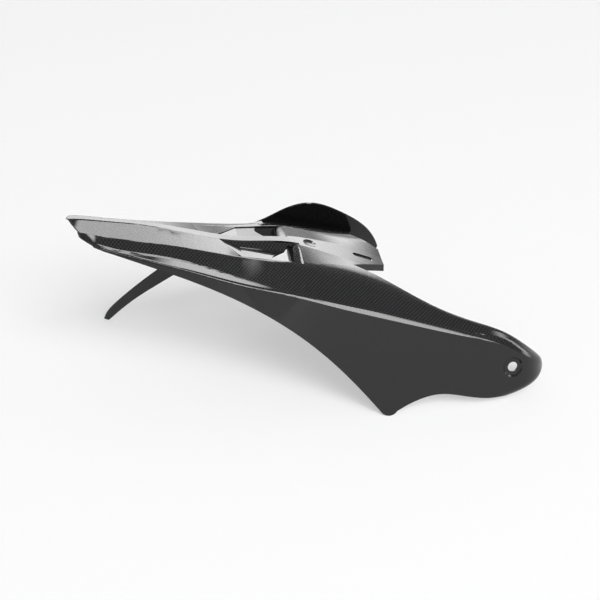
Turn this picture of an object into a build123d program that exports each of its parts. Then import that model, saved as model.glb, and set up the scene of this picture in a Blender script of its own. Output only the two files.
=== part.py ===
from build123d import *
import os
from math import cos, radians, sin, tan

os.makedirs("parts", exist_ok=True)

# Rear wheel hugger with its chain guard, one moulded carbon shell, in millimetres.
# +X runs to the front of the wheel, +Y to the chain side, +Z up, and z = 0 is the bench it lies on.

# The skin
WALL = 2.0
FLARE = 13.0
BOTTOM = -60.0
TOP = 300.0
REACH = 260.0

# Half sections of the skin, each (y, z): ridge, crease, ledge, rib, turn and end, then the five radii.
SECTIONS = (
    (-380, (4.5, 233.5), (16.5, 226), (20.5, 219.4), (23, 217), (25, 200), (24, 185), (3.2, 3.2, 4, 3, 10)),
    (-325, (4.5, 228.5), (21.5, 217), (30, 209.2), (34.5, 207), (37, 188), (37, 168), (3.2, 3.2, 6, 4, 10)),
    (-270, (5, 217.8), (27.5, 207), (40, 197), (49, 194), (53, 172), (53, 150), (3.2, 3.2, 8, 4, 10)),
    (-215, (6, 201.2), (31.5, 195), (49.5, 184), (63, 180.5), (70, 150), (71.5, 125), (3.4, 4, 10, 4, 10)),
    (-160, (6, 188), (38, 183), (68, 169), (77, 166.5), (89, 124), (92, 95), (4, 5, 15, 5, 10)),
    (-105, (8, 182), (47, 175), (84, 157.3), (89, 155.5), (106, 95), (111, 60), (8, 20, 20, 5, 10)),
    (-50, (15, 164.5), (50, 162), (93, 142.2), (98, 140.5), (121, 45), (124, 10), (15, 70, 20, 5, 10)),
    (5, (16, 142.5), (55, 145), (99, 126.6), (104, 125), (135, -8), (136, -30), (15, 60, 20, 5, 10)),
    (60, (16, 112), (79, 120), (104, 109.2), (109, 107.5), (135.5, -8), (136.5, -30), (15, 18, 20, 5, 10)),
    (115, (50, 75), (96, 101), (109, 92.5), (113, 89.5), (131.5, 7), (131, -14), (15, 9, 12, 5, 10)),
    (150, (62, 55), (100.5, 87), (110.5, 81), (115, 74), (128.5, 11), (118.5, 1), (12, 7, 9, 12, 10)),
    (175, (66, 42), (100, 68), (110.5, 63), (115.5, 56), (124.5, 14), (107, 6), (12, 7, 9, 12, 11)),
    (190, (66, 32), (97, 53), (105.5, 50.5), (110, 45), (116, 18), (102, 10), (10, 6, 7, 8, 9)),
    (204, (66, 22), (89, 34.5), (92.5, 34), (95, 32), (97, 27), (93, 22.5), (6, 2.8, 2.8, 2.8, 2.8)),
)

# Free edges: points the cuts pass through, (x, z) for the lower edges and (x, y) for the arm
REAR_X = -420.0
AHEAD_X = 230.0
NEAR_EDGE = ((REAR_X, 228), (-325, 204.5), (-270, 186.5), (-215, 167), (-103, 107), (-34, 39))
NEAR_SCALLOP = ((37, 16.5), (65, 22), (95, 17), (122, 11), (150, 8.5), (175, 5), (AHEAD_X, 4))
FAR_EDGE = ((REAR_X, 228), (-325, 204.5), (-270, 186.5), (-215, 170), (-105, 144.5), (5, 114), (60, 96.5))
ARM_EDGE = ((10, -47), (45, -67), (80, -81.5), (120, -90), (160, -92), (AHEAD_X, -84))
TAIL_TIP_X = -364.0
TAIL_CORNER_X = -326.0
TAIL_CORNER_Y = 34.0
TAIL_WIDE_X = -314.0
TAIL_BELLY_X = -350.0
TAIL_BELLY_Y = 19.0
TIP_X = 3.0
TIP_RADIUS = 12.0
FRONT_X = 19.0
TONGUE_NEAR_Y = -3.0
TONGUE_FAR_Y = 34.0
FAR_NOTCH_X = -16.0
FAR_NOTCH_Y = 58.0
NOTCH_X = -25.0
NOTCH_Y = -29.0
FAR_FRONT_Y = 108.0

# Chain guard: a flat blade leaning with the flare, joined to the far rib by a shelf
GUARD_Y = 138.5
GUARD_TIP_X = 36.0
GUARD_TIP_Z = 95.0
GUARD_END_X = -330.0
GUARD_HEEL_X = -324.0
GUARD_CREST = (
    (-325, 15), (-312, 31), (-288, 54.5), (-254, 84), (-160, 140),
    (-116, 156), (-92, 169), (-62, 176.5), (-16, 157), (18, 128.5),
)
GUARD_UNDER = ((-35, 48), (-90, 103), (-160, 114), (-235, 72), (-284, 37.5), (-319, 5))
SHELF_REAR_X = -165.0
SHELF_FULL_X = -118.0
SHELF_FRONT_X = -8.0
SHELF_DROP = 5.0
SHELF_START = 0.5

# Vents beside the ridge
VENT_APEX_X = -186.0
VENT_CORNER_X = -161.0
VENT_CORNER_Y = 37.5
VENT_MIDDLE_Y = 26.0
VENT_FRONT_Y = 46.0
VENT_FRONT_NEAR_X = -103.0
VENT_FRONT_FAR_X = -116.0
VENT_DEPTH = 9.0
VENT_BANK = 7.0
VENT_LINER = 1.8
RIDGE_HALF = 5.5
MOUTH_REACH = 31.0
MOUTH_RADIUS = 8.0
ROLL = 12.0
ROLL_SLOPE = 14.0
ROLL_SINK = 0.4
ROLL_LAP = 1.5
ROLL_DROP = 2.0

# Fixing points
NOSE_HOLE = 12.5
NOSE_HOLE_X = 158.6
NOSE_HOLE_Z = 46.0
NOSE_RECESS = 25.0
NOSE_RECESS_DEPTH = 2.5
SLOT_LENGTH = 26.0
SLOT_WIDTH = 8.0
SLOT_X = -7.0
SLOT_Y = 1.0
TONGUE_LIP = 8.0
DIMPLE_X = -74.0
DIMPLE = 18.0
DIMPLE_DEPTH = 1.8
DIMPLE_BALL = DIMPLE ** 2 / (8 * DIMPLE_DEPTH)
NOSE_WALL = ((-88, 32.5), (-92.4, 32.8), (-94.2, 31.2), (-95.7, 27.2), (-92.6, 24), (-88, 25.5))

with BuildPart() as skin:
    for x, ridge, crease, ledge, rib, turn, end, radii in SECTIONS:
        far = (ridge, crease, ledge, rib, turn, end)
        near = [(-y, z) for y, z in reversed(far)]
        with BuildSketch(Plane.YZ.offset(x)):
            with BuildLine():
                FilletPolyline(*near, *far, radius=[*reversed(radii), *radii])
                offset(amount=WALL, side=Side.RIGHT)
            make_face()
    loft()


def skin_z(x, y):
    hits = skin.part.find_intersection_points(Axis((x, y, TOP), (0, 0, -1)))
    return max(point.Z for point, normal in hits)


def guard_y(z):
    return GUARD_Y - z * tan(radians(FLARE))


# The blade's plane: X along the part, local Y up the lean, normal pointing inward.
inward = Vector(0, -cos(radians(FLARE)), -sin(radians(FLARE)))
guard_plane = Plane((0, GUARD_Y, WALL * sin(radians(FLARE))), x_dir=(1, 0, 0), z_dir=inward)
LEAN = 1 / cos(radians(FLARE))


def leaning(points):
    return [(x, z * LEAN) for x, z in points]


def rib_at(x):
    for (x0, *start), (x1, *stop) in zip(SECTIONS, SECTIONS[1:]):
        if x0 <= x <= x1:
            (y0, z0), (y1, z1) = start[3], stop[3]
            share = (x - x0) / (x1 - x0)
            return y0 + share * (y1 - y0), z0 + share * (z1 - z0)


with BuildPart() as moulding:
    add(skin.part)
    # Near lower edge: tail flange, long rear edge, rounded tip, scallop and nose.
    with BuildSketch(Plane.XZ):
        with BuildLine():
            tip = CenterArc((TIP_X, TIP_RADIUS), TIP_RADIUS, 215, 110)
            rear = Spline(*NEAR_EDGE, tip @ 0)
            scallop = Spline(tip @ 1, *NEAR_SCALLOP)
            Polyline(scallop @ 1, (AHEAD_X, BOTTOM), (REAR_X, BOTTOM), rear @ 0)
        make_face()
    extrude(amount=REACH, mode=Mode.SUBTRACT)
    # Far lower edge, just under the rib.
    with BuildSketch(Plane.XZ):
        with BuildLine():
            far_edge = Spline(*FAR_EDGE)
            ahead = (AHEAD_X, FAR_EDGE[-1][1])
            Polyline(far_edge @ 1, ahead, (AHEAD_X, BOTTOM), (REAR_X, BOTTOM), far_edge @ 0)
        make_face()
    extrude(amount=-REACH, mode=Mode.SUBTRACT)
    # Tail, cut to a point in plan.
    with BuildSketch(Plane.XY.offset(BOTTOM)):
        with BuildLine():
            point = (TAIL_TIP_X, 0)
            near_end = Spline(point, (TAIL_BELLY_X, -TAIL_BELLY_Y), (TAIL_CORNER_X, -TAIL_CORNER_Y))
            far_end = Spline(point, (TAIL_BELLY_X, TAIL_BELLY_Y), (TAIL_CORNER_X, TAIL_CORNER_Y))
            Polyline(far_end @ 1, (TAIL_WIDE_X, REACH), (REAR_X, REACH))
            Polyline((REAR_X, REACH), (REAR_X, -REACH), (TAIL_WIDE_X, -REACH), near_end @ 1)
        make_face()
    extrude(amount=TOP - BOTTOM, mode=Mode.SUBTRACT)
    # Front: tongue, notch beside it and the inner edge of the arm.
    with BuildSketch(Plane.XY.offset(BOTTOM)):
        with BuildLine():
            arm = Spline((NOTCH_X, NOTCH_Y), *ARM_EDGE)
            Polyline(arm @ 1, (AHEAD_X, REACH), (0, REACH), (0, FAR_FRONT_Y), (FAR_NOTCH_X, FAR_NOTCH_Y))
            Polyline((FAR_NOTCH_X, FAR_NOTCH_Y), (FRONT_X, TONGUE_FAR_Y), (FRONT_X, TONGUE_NEAR_Y), arm @ 0)
        make_face()
    extrude(amount=TOP - BOTTOM, mode=Mode.SUBTRACT)

    # Chain guard blade: fin over the far rib, long tail reaching down behind, front edge to the far tip.
    with BuildSketch(guard_plane):
        with BuildLine():
            foot = CenterArc((TIP_X, TIP_RADIUS * LEAN), TIP_RADIUS, 205, 120)
            ends = (GUARD_END_X, 3), (GUARD_TIP_X, GUARD_TIP_Z)
            crest = Spline(*leaning((ends[0], *GUARD_CREST, ends[1])))
            Line(crest @ 1, foot @ 1)
            under = Spline(foot @ 0, *leaning(GUARD_UNDER))
            Polyline(under @ 1, (GUARD_HEEL_X, 0), crest @ 0)
        make_face()
    extrude(amount=WALL)
    # Shelf from the far rib out to the blade, growing from nothing at its rear end.
    for x, full in ((SHELF_REAR_X, 0), (SHELF_FULL_X, 1), (-50, 1), (SHELF_FRONT_X, 1)):
        inner, level = rib_at(x)
        level -= SHELF_DROP
        width = SHELF_START + full * (guard_y(level) - WALL / 2 - inner - SHELF_START)
        with BuildSketch(Plane.YZ.offset(x)):
            with Locations((inner, level)):
                Rectangle(width, WALL, align=(Align.MIN, Align.MAX))
    loft(ruled=True)

    for side, front in ((-1, VENT_FRONT_NEAR_X), (1, VENT_FRONT_FAR_X)):
        # Opening between the ridge and the crease, up to where the bridge rolls over.
        inner = side * RIDGE_HALF
        lip_x = front + ROLL * (1 + sin(radians(ROLL_SLOPE)))
        with BuildSketch(Plane.XY.offset(BOTTOM)):
            with BuildLine():
                corner = (VENT_CORNER_X, side * (VENT_CORNER_Y - 1))
                stop = (lip_x, side * VENT_FRONT_Y)
                Polyline((VENT_APEX_X, inner), corner, stop, (lip_x, inner), close=True)
            make_face()
        extrude(amount=TOP - BOTTOM, mode=Mode.SUBTRACT)
        # Sunk liner: a bank beside the ridge and a floor that ramps down to the front.
        stations = (
            (VENT_APEX_X, RIDGE_HALF + 3, 0.05),
            (VENT_CORNER_X, VENT_CORNER_Y, 0.6),
            (front + 0.75 * ROLL, VENT_FRONT_Y, 1.0),
        )
        for x, width, sunk in stations:
            top = (inner - side, skin_z(x, inner) - WALL / 2)
            root = (inner + side * (1 + sunk * VENT_BANK), top[1] - sunk * VENT_DEPTH)
            rim = (side * width, skin_z(x, side * width) - WALL / 2)
            with BuildSketch(Plane.YZ.offset(x)):
                with BuildLine():
                    Polyline(top, root, rim)
                    offset(amount=VENT_LINER, side=Side.LEFT if side < 0 else Side.RIGHT)
                make_face()
        loft(ruled=True)
        # D-shaped mouth at the front of the floor.
        with BuildSketch(Plane.XY.offset(BOTTOM)):
            with BuildLine():
                start = (front + ROLL, side * (RIDGE_HALF + 2))
                top = (front, start[1])
                back = (front - MOUTH_REACH, side * (VENT_FRONT_Y - 6))
                stop = (front + ROLL, side * (VENT_FRONT_Y - 1.5))
                Line(start, top)
                FilletPolyline(top, back, stop, radius=MOUTH_RADIUS)
                Line(stop, start)
            make_face()
        extrude(amount=TOP - BOTTOM, mode=Mode.SUBTRACT)
        # Rear edge of the bridge, rolled down over the mouth.
        for y in (inner - side, side * VENT_MIDDLE_Y, side * (VENT_FRONT_Y + 1)):
            height = skin_z(lip_x, y) - ROLL_SINK
            middle = (front + ROLL, height - ROLL * cos(radians(ROLL_SLOPE)))
            with BuildSketch(Plane.XZ.offset(-y)):
                with BuildLine():
                    turn = CenterArc(middle, ROLL, 90 - ROLL_SLOPE, 90 + ROLL_SLOPE)
                    Line(turn @ 0, turn @ 0 + Vector(ROLL_LAP, -ROLL_LAP * tan(radians(ROLL_SLOPE))))
                    Line(turn @ 1, turn @ 1 - Vector(0, ROLL_DROP))
                    offset(amount=WALL, side=Side.LEFT)
                make_face()
        loft()

    # Turned-down near edge of the tongue.
    run = Vector(FRONT_X - NOTCH_X, TONGUE_NEAR_Y - NOTCH_Y, 0)
    edge_plane = Plane((NOTCH_X, NOTCH_Y, 0), x_dir=run, z_dir=(run.Y, -run.X, 0))
    with BuildSketch(edge_plane):
        with BuildLine():
            along = [(share, edge_plane.origin + run * share) for share in (0.06, 0.5, 1)]
            rise = [(run.length * share, skin_z(at.X, at.Y + 1) - WALL / 2) for share, at in along]
            Polyline(*rise, *[(d, z - TONGUE_LIP) for d, z in reversed(rise)], close=True)
        make_face()
    extrude(amount=-WALL)
    # Slot in the tongue.
    with BuildSketch(Plane.XY.offset(BOTTOM)):
        with Locations((SLOT_X, SLOT_Y)):
            SlotOverall(SLOT_LENGTH, SLOT_WIDTH)
    extrude(amount=TOP - BOTTOM, mode=Mode.SUBTRACT)
    # Dimple in the bridge, on a pad under the skin.
    fall = (skin_z(DIMPLE_X + 5, 0) - skin_z(DIMPLE_X - 5, 0)) / 10
    dimple_plane = Plane((DIMPLE_X, 0, skin_z(DIMPLE_X, 0)), z_dir=(-fall, 0, 1))
    with BuildSketch(dimple_plane.offset(-WALL - 1)):
        Circle(DIMPLE / 2 + 3)
    extrude(amount=WALL)
    with Locations(dimple_plane.offset(DIMPLE_BALL - DIMPLE_DEPTH)):
        Sphere(DIMPLE_BALL, mode=Mode.SUBTRACT)

    # Recessed fixing hole in the nose, on a pad inside the skin.
    hits = skin.part.find_intersection_points(Axis((NOSE_HOLE_X, -REACH, NOSE_HOLE_Z), (0, 1, 0)))
    spot, outward = min(hits, key=lambda hit: hit[0].Y)
    nose_plane = Plane(spot, x_dir=(1, 0, 0), z_dir=outward)
    with BuildSketch(nose_plane.offset(-NOSE_RECESS_DEPTH - WALL)):
        Circle(NOSE_RECESS / 2 + WALL)
    extrude(amount=NOSE_RECESS_DEPTH + WALL / 2)
    with BuildSketch(nose_plane.offset(WALL)):
        Circle(NOSE_RECESS / 2 + WALL)
    extrude(amount=-NOSE_RECESS_DEPTH - WALL, taper=40, mode=Mode.SUBTRACT)
    with BuildSketch(nose_plane.offset(WALL)):
        Circle(NOSE_HOLE / 2)
    extrude(amount=-5 * WALL - NOSE_RECESS_DEPTH, mode=Mode.SUBTRACT)
    # Front wall of the nose.
    with BuildSketch(Plane.YZ.offset(SECTIONS[-1][0])):
        with BuildLine():
            FilletPolyline(*NOSE_WALL, radius=1.5, close=True)
        make_face()
    extrude(amount=-WALL)

# The finished part stands with its origin under the middle of its bounding box.
middle = moulding.part.bounding_box().center()
with BuildPart() as hugger_shell:
    with Locations((-middle.X, -middle.Y, 0)):
        add(moulding.part)

hugger_shell.part.label = "hugger_shell"
export_step(hugger_shell.part, "parts/hugger_shell.step")
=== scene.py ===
import math
from collections import namedtuple

import bpy
from bpy.props import FloatProperty, FloatVectorProperty, PointerProperty
from mathutils import Matrix, Vector


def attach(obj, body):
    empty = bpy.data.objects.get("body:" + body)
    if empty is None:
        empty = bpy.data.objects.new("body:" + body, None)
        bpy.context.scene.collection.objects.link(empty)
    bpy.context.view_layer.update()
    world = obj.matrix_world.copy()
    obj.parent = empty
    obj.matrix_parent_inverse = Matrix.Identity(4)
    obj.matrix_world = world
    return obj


bl_info = {
    "name": "Carbon wheel hugger",
    "version": (1, 0, 0),
    "blender": (4, 5, 0),
    "location": "View3D > Sidebar > Hugger",
    "description": "Dresses the moulded hugger in clear-coated carbon and sets it on a white table",
    "category": "Object",
}

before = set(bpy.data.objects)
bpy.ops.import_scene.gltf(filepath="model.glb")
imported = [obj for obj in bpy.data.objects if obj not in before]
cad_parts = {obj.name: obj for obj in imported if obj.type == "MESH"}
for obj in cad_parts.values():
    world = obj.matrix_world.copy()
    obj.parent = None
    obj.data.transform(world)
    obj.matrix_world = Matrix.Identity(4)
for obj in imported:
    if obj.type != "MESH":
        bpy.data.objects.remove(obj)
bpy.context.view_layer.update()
MM = 0.001


def linear(hex_colour):
    """An sRGB hex value as linear red, green, blue and alpha."""
    parts = [int(hex_colour[i:i + 2], 16) / 255 for i in (1, 3, 5)]
    return [c / 12.92 if c <= 0.04045 else ((c + 0.055) / 1.055) ** 2.4 for c in parts] + [1.0]


def node(tree, kind, inputs=None, **settings):
    """Adds one shader node. Each input is filled from another node's socket or with a value."""
    made = tree.nodes.new(kind)
    for key, value in settings.items():
        setattr(made, key, value)
    for socket, source in (inputs or {}).items():
        if isinstance(source, bpy.types.NodeSocket):
            tree.links.new(source, made.inputs[socket])
        else:
            made.inputs[socket].default_value = source
    return made


class CarbonSettings(bpy.types.PropertyGroup):
    """Sizes and colours of the lacquered cloth"""
    tow: FloatProperty(
        name="Tow width", description="Width of one yarn of the cloth",
        default=2.2 * MM, subtype="DISTANCE", unit="LENGTH", precision=4)
    tow_rise: FloatProperty(
        name="Tow rise", description="How far a yarn bulges where it passes over another",
        default=0.12 * MM, subtype="DISTANCE", unit="LENGTH", precision=5)
    # Painted sheen and painted shade: the lighter warp tone stands in for yarns whose glints face the lamps,
    # the near-black weft tone for yarns turned away from them.
    warp: FloatVectorProperty(
        name="Warp colour", description="Yarns that catch the light",
        default=linear("#242426"), size=4, min=0, max=1, subtype="COLOR")
    weft: FloatVectorProperty(
        name="Weft colour", description="Yarns that turn away from the light",
        default=linear("#020202"), size=4, min=0, max=1, subtype="COLOR")
    # Painted light: the sides, which turn from the overhead lamps, show this one even share of the warp
    # colour in place of the weave's painted sheen.
    side_warp_share: FloatProperty(
        name="Resin share", description="Share of the warp colour where resin hides the yarns",
        default=0.3, min=0, max=1, subtype="FACTOR")
    fibre_roughness: FloatProperty(
        name="Fibre roughness", description="Roughness of the cloth under the lacquer",
        default=0.42, min=0, max=1, subtype="FACTOR")
    lacquer_roughness: FloatProperty(
        name="Lacquer roughness", description="Roughness of the clear coat",
        default=0.03, min=0, max=1, subtype="FACTOR")


class RibSettings(bpy.types.PropertyGroup):
    """Sizes of the bead along the rib"""
    start: FloatProperty(
        name="Start", description="Where the bead begins along the part",
        default=-75 * MM, subtype="DISTANCE", unit="LENGTH")
    end: FloatProperty(
        name="End", description="Where the bead runs out towards the nose",
        default=228 * MM, subtype="DISTANCE", unit="LENGTH")
    width: FloatProperty(
        name="Width", description="Across the bead at its widest",
        default=8.0 * MM, subtype="DISTANCE", unit="LENGTH", precision=4)
    crown: FloatProperty(
        name="Crown radius", description="Radius of the bead's rounded face",
        default=16 * MM, subtype="DISTANCE", unit="LENGTH", precision=4)
    proud: FloatProperty(
        name="Proud", description="How far the bead stands above the moulded edge",
        default=0.15 * MM, subtype="DISTANCE", unit="LENGTH", precision=5)
    facing: FloatProperty(
        name="Facing", description="How far the bead looks up from the side",
        default=math.radians(35), subtype="ANGLE", unit="ROTATION")


class StageSettings(bpy.types.PropertyGroup):
    """Table, room and camera"""
    table_colour: FloatVectorProperty(
        name="Table colour", description="White sheet under the part",
        default=linear("#FAFAFA"), size=4, min=0, max=1, subtype="COLOR")
    table_white: FloatProperty(
        name="Table white", description="Share of plain white in the sheet as it is seen",
        default=0.42, min=0, max=1, subtype="FACTOR")
    room: FloatProperty(
        name="Room light", description="Grey level of the room round the table",
        default=0.38, min=0, max=1, subtype="FACTOR")
    lens: FloatProperty(
        name="Lens", description="Focal length in millimetres", default=86.4, unit="CAMERA")
    camera_place: FloatVectorProperty(
        name="Camera", description="Where the camera stands",
        default=(-0.2449, -1.5112, 1.0469), subtype="TRANSLATION", unit="LENGTH")
    camera_azimuth: FloatProperty(
        name="Azimuth", description="How far the camera stands round the part",
        default=math.radians(-9), subtype="ANGLE", unit="ROTATION")
    camera_elevation: FloatProperty(
        name="Elevation", description="How far the camera looks down on the table",
        default=math.radians(32), subtype="ANGLE", unit="ROTATION")


# How level the skin is, from 0 on an upright wall to 1 on a flat top: where the cloth turns from hanging to
# lying, up to where the weave's painted sheen is left out, and from where it shows in full on tops facing the
# lamps.
LYING = 0.6
SHEEN_GONE = 0.35
SHEEN_FULL = 0.65
# The yarns' height runs from -1 to 1, and they change over within this much of the middle.
CHANGE_OVER = 0.3
# Wetted fibres hardly shine of themselves, and the lacquer is a urethane.
FIBRE_SHINE = 0.03
LACQUER_IOR = 1.45


def carbon_lacquer(settings):
    """Plain-weave carbon cloth, moulded in resin and sprayed with clear lacquer."""
    # The eye sees black and dark grey yarns two millimetres wide that pass over and under each other, with a
    # hard wet gloss above them. The dark grey of the yarns that face the lamps is a painted sheen, and the
    # black of those turned away a painted shade.
    material = bpy.data.materials.new("Lacquered carbon cloth")
    material.use_nodes = True
    tree = material.node_tree
    tree.nodes.clear()
    place = node(tree, "ShaderNodeTexCoord").outputs
    at = node(tree, "ShaderNodeSeparateXYZ", {0: place["Object"]}).outputs
    slope = node(tree, "ShaderNodeSeparateXYZ", {0: place["Normal"]}).outputs
    level = node(tree, "ShaderNodeMath", {0: slope["Z"]}, operation="ABSOLUTE").outputs[0]
    # The cloth lies flat on the top and hangs down the sides.
    top = node(tree, "ShaderNodeMath", {0: level, 1: LYING}, operation="GREATER_THAN").outputs[0]
    across = node(tree, "ShaderNodeMix", {0: top, 2: at["Z"], 3: at["Y"]}).outputs[0]
    waves = []
    for run in (at["X"], across):
        turns = node(tree, "ShaderNodeMath", {0: run, 1: math.pi / settings.tow}, operation="MULTIPLY")
        waves.append(node(tree, "ShaderNodeMath", {0: turns.outputs[0]}, operation="SINE").outputs[0])
    over = node(tree, "ShaderNodeMath", {0: waves[0], 1: waves[1]}, operation="MULTIPLY").outputs[0]
    share = node(tree, "ShaderNodeMapRange", {
        "Value": over, "From Min": -CHANGE_OVER, "From Max": CHANGE_OVER}).outputs[0]
    # Painted light: the weave's painted sheen shows in full on the tops, which face the lamps, and fades to
    # one even tone on the sides.
    clear = node(tree, "ShaderNodeMapRange", {
        "Value": level, "From Min": SHEEN_GONE, "From Max": SHEEN_FULL}).outputs[0]
    sheen_share = node(tree, "ShaderNodeMix", {0: clear, 2: settings.side_warp_share, 3: share}).outputs[0]
    # Painted sheen: the base colour mixes the lit warp tone and the shaded weft tone across the weave.
    yarn = node(tree, "ShaderNodeMix", {
        0: sheen_share, 6: tuple(settings.weft), 7: tuple(settings.warp)}, data_type="RGBA").outputs[2]
    bulge = node(tree, "ShaderNodeMath", {0: over}, operation="ABSOLUTE").outputs[0]
    relief = node(tree, "ShaderNodeBump", {
        "Height": bulge, "Distance": settings.tow_rise, "Strength": 1.0}).outputs[0]
    shader = node(tree, "ShaderNodeBsdfPrincipled", {
        "Base Color": yarn,
        "Roughness": settings.fibre_roughness,
        "Specular IOR Level": FIBRE_SHINE,
        "Normal": relief,
        "Coat Weight": 1.0,
        "Coat Roughness": settings.lacquer_roughness,
        "Coat IOR": LACQUER_IOR,
    })
    node(tree, "ShaderNodeOutputMaterial", {"Surface": shader.outputs["BSDF"]})
    return material


class HUGGER_OT_lacquer(bpy.types.Operator):
    """Dresses the moulded shell in lacquered carbon cloth"""
    bl_idname = "hugger.lacquer"
    bl_label = "Lacquered shell"

    def execute(self, context):
        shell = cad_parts["hugger_shell"]
        cloth = carbon_lacquer(context.scene.hugger_carbon)
        for slot in shell.material_slots:
            slot.material = cloth
        return {"FINISHED"}


RIB_STATIONS = 40
RIB_ACROSS = 8
# A ring of the bead has the points across its rounded face and the feet of its two skirts.
RIB_LINES = RIB_ACROSS + 3
RIB_SKIRT = 1.8 * MM
EVENING_PASSES = 12
# The bead is widest a little nearer the nose, and stays wide before it runs out.
RIB_LEAN = 1.4
RIB_FULLNESS = 0.7
SAME_POINT = 0.001 * MM
# A face of the bead that looks outward by more than this share is part of its rounded face.
ROUNDED = 0.5


def outermost(shell, x, outward):
    """The point of the shell's slice at x that lies farthest in the given direction."""
    spots = shell.data.vertices
    best, found = -math.inf, None
    for edge in shell.data.edges:
        a, b = (spots[i].co for i in edge.vertices)
        if (a.x - x) * (b.x - x) < 0:
            point = a.lerp(b, (x - a.x) / (b.x - a.x))
            if point.dot(outward) > best:
                best, found = point.dot(outward), point
    return found


def rib_path(rib, shell, outward):
    """The shell's outermost line between the ends of the bead, evened out."""
    length = rib.end - rib.start
    stations = [rib.start + length * i / RIB_STATIONS for i in range(RIB_STATIONS + 1)]
    path = [outermost(shell, x, outward) for x in stations]
    for _ in range(EVENING_PASSES):
        inner = [(a + 2 * b + c) / 4 for a, b, c in zip(path, path[1:], path[2:])]
        path = [path[0]] + inner + [path[-1]]
    return path


def rib_ring(rib, spot, along, outward, share):
    """One ring of the bead, at a share of its length. At either end it closes to a point under the skin."""
    face = (outward - along * outward.dot(along)).normalized()
    side = along.cross(face)
    sunk = face * RIB_SKIRT
    if share in (0, 1):
        return [spot - sunk] * RIB_LINES
    half = rib.width / 2 * math.sin(math.pi * share ** RIB_LEAN) ** RIB_FULLNESS
    steps = [half * (2 * j / RIB_ACROSS - 1) for j in range(RIB_ACROSS + 1)]
    crown = [spot + side * step + face * (rib.proud - step * step / (2 * rib.crown)) for step in steps]
    return [crown[0] - sunk] + crown + [crown[-1] - sunk]


class HUGGER_OT_rib(bpy.types.Operator):
    """Lays the rounded bead along the rib between the shoulder and the side panel"""
    bl_idname = "hugger.rib"
    bl_label = "Rib bead"

    def execute(self, context):
        rib = context.scene.hugger_rib
        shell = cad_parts["hugger_shell"]
        outward = Vector((0, -math.cos(rib.facing), math.sin(rib.facing)))
        path = rib_path(rib, shell, outward)
        rings = []
        for i, spot in enumerate(path):
            along = (path[min(i + 1, RIB_STATIONS)] - path[max(i - 1, 0)]).normalized()
            rings.append(rib_ring(rib, spot, along, outward, i / RIB_STATIONS))

        # A circle is drawn out into a tube with a ring for each station, and the rings are then set in place.
        bpy.ops.object.select_all(action="DESELECT")
        bpy.ops.mesh.primitive_circle_add(vertices=RIB_LINES, radius=1, fill_type="NOTHING")
        bead = context.view_layer.objects.active
        bead.name = "rib_bead"
        bead.data.name = "rib_bead"
        bpy.ops.object.mode_set(mode="EDIT")
        for _ in range(RIB_STATIONS):
            bpy.ops.mesh.extrude_region_move(TRANSFORM_OT_translate={"value": (0, 0, 1)})
        bpy.ops.object.mode_set(mode="OBJECT")
        for vertex in bead.data.vertices:
            line = round(math.atan2(vertex.co.x, vertex.co.y) / math.tau * RIB_LINES) % RIB_LINES
            vertex.co = rings[round(vertex.co.z)][line]
        bpy.ops.object.mode_set(mode="EDIT")
        bpy.ops.mesh.select_all(action="SELECT")
        bpy.ops.mesh.remove_doubles(threshold=SAME_POINT)
        bpy.ops.mesh.normals_make_consistent(inside=False)
        bpy.ops.object.mode_set(mode="OBJECT")
        for polygon in bead.data.polygons:
            polygon.use_smooth = polygon.normal.dot(outward) > ROUNDED
        bead.data.materials.append(shell.material_slots[0].material)
        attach(bead, "root")
        return {"FINISHED"}


WHITE = linear("#FFFFFF")
TABLE_SIZE = 24.0
# The backdrop has dimmed to the room at this rise of the line of sight.
BACKDROP_TOP = 0.26
# A lamp that looks down more steeply than this is squared to the part's width and not to the vertical.
STEEP = 0.9
SENSOR_WIDTH = 36.0

# Soft boxes in metres and degrees. The turn is about the line from the centre to the target, and the cloth
# fades over the rim. A box either lights the table or shines in the lacquer.
SoftBox = namedtuple("SoftBox", "name centre target turn width height rim radiance lights_table")
SOFT_BOXES = (
    SoftBox("overhead_strip", (0.108, 0.303, 0.90), (0.108, 0.303, 0.0), 26, 0.18, 1.12, 0.05, 10.0, False),
    SoftBox("back_sheet", (0.20, 2.50, 1.35), (0.0, 0.0, 0.15), 0, 3.7, 2.0, 0.8, 6.0, False),
    SoftBox("side_sheet", (2.50, -0.30, 1.20), (0.2, -0.1, 0.15), 0, 1.6, 2.6, 0.6, 6.0, False),
    SoftBox("front_box", (1.566, -6.475, 3.683), (0.166, -0.775, -0.767), 0, 5.4, 8.1, 1.0, 11.0, False),
    SoftBox("table_box", (2.20, -8.20, 8.50), (0.0, 0.0, 0.0), 0, 7.0, 7.0, 1.0, 11.5, True),
)


def table_sheet(stage):
    """White matt paper on the table."""
    # It is lifted towards plain white where it is seen or mirrored, so that its shadows stay soft.
    material = bpy.data.materials.new("White table sheet")
    material.use_nodes = True
    tree = material.node_tree
    tree.nodes.clear()
    paper = node(tree, "ShaderNodeBsdfDiffuse", {"Color": tuple(stage.table_colour)})
    white = node(tree, "ShaderNodeEmission", {"Color": WHITE, "Strength": 1.0})
    rays = node(tree, "ShaderNodeLightPath").outputs
    seen = node(tree, "ShaderNodeMath", {
        0: rays["Is Camera Ray"], 1: rays["Is Glossy Ray"]}, operation="MAXIMUM").outputs[0]
    lift = node(tree, "ShaderNodeMath", {0: seen, 1: stage.table_white}, operation="MULTIPLY").outputs[0]
    sheet = node(tree, "ShaderNodeMixShader", {0: lift, 1: paper.outputs["BSDF"], 2: white.outputs[0]})
    node(tree, "ShaderNodeOutputMaterial", {"Surface": sheet.outputs[0]})
    return material


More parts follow.
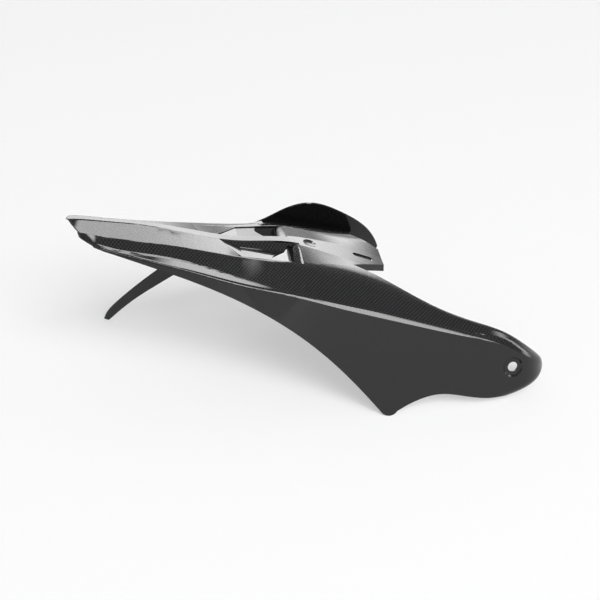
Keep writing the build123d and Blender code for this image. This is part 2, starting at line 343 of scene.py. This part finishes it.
def white_studio(stage):
    """The room round the table."""
    # Its backdrop is white where it meets the table and dims to the room above.
    world = bpy.data.worlds.new("White studio")
    world.use_nodes = True
    tree = world.node_tree
    tree.nodes.clear()
    sight = node(tree, "ShaderNodeTexCoord").outputs["Generated"]
    rise = node(tree, "ShaderNodeSeparateXYZ", {0: sight}).outputs["Z"]
    level = node(tree, "ShaderNodeMapRange", {
        "Value": rise, "From Min": 0.0, "From Max": BACKDROP_TOP, "To Min": 1.0, "To Max": stage.room},
        interpolation_type="SMOOTHSTEP").outputs[0]
    room = node(tree, "ShaderNodeBackground", {"Color": WHITE, "Strength": level})
    white = node(tree, "ShaderNodeBackground", {"Color": WHITE, "Strength": 1.0})
    rays = node(tree, "ShaderNodeLightPath").outputs
    seen = node(tree, "ShaderNodeMixShader", {
        0: rays["Is Camera Ray"], 1: room.outputs[0], 2: white.outputs[0]})
    node(tree, "ShaderNodeOutputWorld", {"Surface": seen.outputs[0]})
    return world


def soft_rim(lamp, rim):
    """Lets an area lamp fade to nothing over its rim, as the cloth of a soft box does."""
    lamp.use_nodes = True
    tree = lamp.node_tree
    tree.nodes.clear()
    # The cloth's own coordinates run from 0 to 1, so its middle is at a half.
    cloth = node(tree, "ShaderNodeNewGeometry").outputs["Parametric"]
    spot = node(tree, "ShaderNodeSeparateXYZ", {0: cloth}).outputs
    shares = []
    for along, length in (("X", lamp.size), ("Y", lamp.size_y)):
        offset = node(tree, "ShaderNodeMath", {0: spot[along], 1: 0.5}, operation="SUBTRACT").outputs[0]
        distance = node(tree, "ShaderNodeMath", {0: offset}, operation="ABSOLUTE").outputs[0]
        shares.append(node(tree, "ShaderNodeMapRange", {
            "Value": distance, "From Min": 0.5 - rim / length, "From Max": 0.5, "To Min": 1.0, "To Max": 0.0},
            interpolation_type="SMOOTHSTEP").outputs[0])
    strength = node(tree, "ShaderNodeMath", {0: shares[0], 1: shares[1]}, operation="MULTIPLY").outputs[0]
    glow = node(tree, "ShaderNodeEmission", {"Strength": strength})
    node(tree, "ShaderNodeOutputLight", {"Surface": glow.outputs[0]})


def lamp_placing(centre, target, turn):
    """The placing of a lamp at the centre that shines at the target, turned about that line in degrees."""
    ahead = (Vector(target) - Vector(centre)).normalized()
    up = Vector((0, 1, 0)) if abs(ahead.z) > STEEP else Vector((0, 0, 1))
    side = up.cross(ahead).normalized()
    over = ahead.cross(side)
    angle = math.radians(turn)
    side, over = (
        side * math.cos(angle) + over * math.sin(angle),
        over * math.cos(angle) - side * math.sin(angle),
    )
    return Matrix.Translation(Vector(centre)) @ Matrix((side, -over, -ahead)).transposed().to_4x4()


def camera_placing(place, azimuth, elevation):
    """The placing of a camera that looks level across and down by its elevation."""
    back = Vector((
        math.sin(azimuth) * math.cos(elevation),
        -math.cos(azimuth) * math.cos(elevation),
        math.sin(elevation),
    ))
    right = Vector((math.cos(azimuth), math.sin(azimuth), 0))
    turn = Matrix((right, back.cross(right), back)).transposed().to_4x4()
    return Matrix.Translation(Vector(place)) @ turn


class HUGGER_OT_stage(bpy.types.Operator):
    """Sets the white table, the soft boxes and the camera"""
    bl_idname = "hugger.stage"
    bl_label = "Table, light and camera"

    def execute(self, context):
        scene = context.scene
        stage = scene.hugger_stage
        bpy.ops.object.select_all(action="DESELECT")
        bpy.ops.mesh.primitive_plane_add(size=TABLE_SIZE)
        table = context.view_layer.objects.active
        table.name = "table"
        table.data.materials.append(table_sheet(stage))
        scene.world = white_studio(stage)

        for box in SOFT_BOXES:
            lamp = bpy.data.lights.new(box.name, "AREA")
            lamp.shape = "RECTANGLE"
            lamp.size = box.width
            lamp.size_y = box.height
            lamp.energy = box.radiance * math.pi * box.width * box.height
            soft_rim(lamp, box.rim)
            holder = bpy.data.objects.new(box.name, lamp)
            scene.collection.objects.link(holder)
            holder.matrix_world = lamp_placing(box.centre, box.target, box.turn)
            holder.visible_camera = False
            holder.visible_diffuse = box.lights_table
            holder.visible_glossy = not box.lights_table

        camera = bpy.data.cameras.new("camera")
        camera.lens = stage.lens
        camera.sensor_width = SENSOR_WIDTH
        holder = bpy.data.objects.new("camera", camera)
        scene.collection.objects.link(holder)
        holder.matrix_world = camera_placing(stage.camera_place, stage.camera_azimuth, stage.camera_elevation)
        scene.camera = holder
        scene.view_settings.view_transform = "Standard"
        return {"FINISHED"}


class HUGGER_PT_panel(bpy.types.Panel):
    """Lists the pieces and their settings"""
    bl_idname = "HUGGER_PT_panel"
    bl_label = "Hugger"
    bl_space_type = "VIEW_3D"
    bl_region_type = "UI"
    bl_category = "Hugger"

    def draw(self, context):
        scene = context.scene
        for group in (scene.hugger_carbon, scene.hugger_rib, scene.hugger_stage):
            for key in group.__annotations__:
                self.layout.prop(group, key)
        for operator in (HUGGER_OT_lacquer, HUGGER_OT_rib, HUGGER_OT_stage):
            self.layout.operator(operator.bl_idname)


CLASSES = (
    CarbonSettings,
    RibSettings,
    StageSettings,
    HUGGER_OT_lacquer,
    HUGGER_OT_rib,
    HUGGER_OT_stage,
    HUGGER_PT_panel,
)


def register():
    for cls in CLASSES:
        bpy.utils.register_class(cls)
    bpy.types.Scene.hugger_carbon = PointerProperty(type=CarbonSettings)
    bpy.types.Scene.hugger_rib = PointerProperty(type=RibSettings)
    bpy.types.Scene.hugger_stage = PointerProperty(type=StageSettings)


def unregister():
    del bpy.types.Scene.hugger_stage
    del bpy.types.Scene.hugger_rib
    del bpy.types.Scene.hugger_carbon
    for cls in reversed(CLASSES):
        bpy.utils.unregister_class(cls)


def main():
    register()
    bpy.ops.hugger.lacquer()
    bpy.ops.hugger.rib()
    bpy.ops.hugger.stage()


if __name__ == "__main__":
    main()
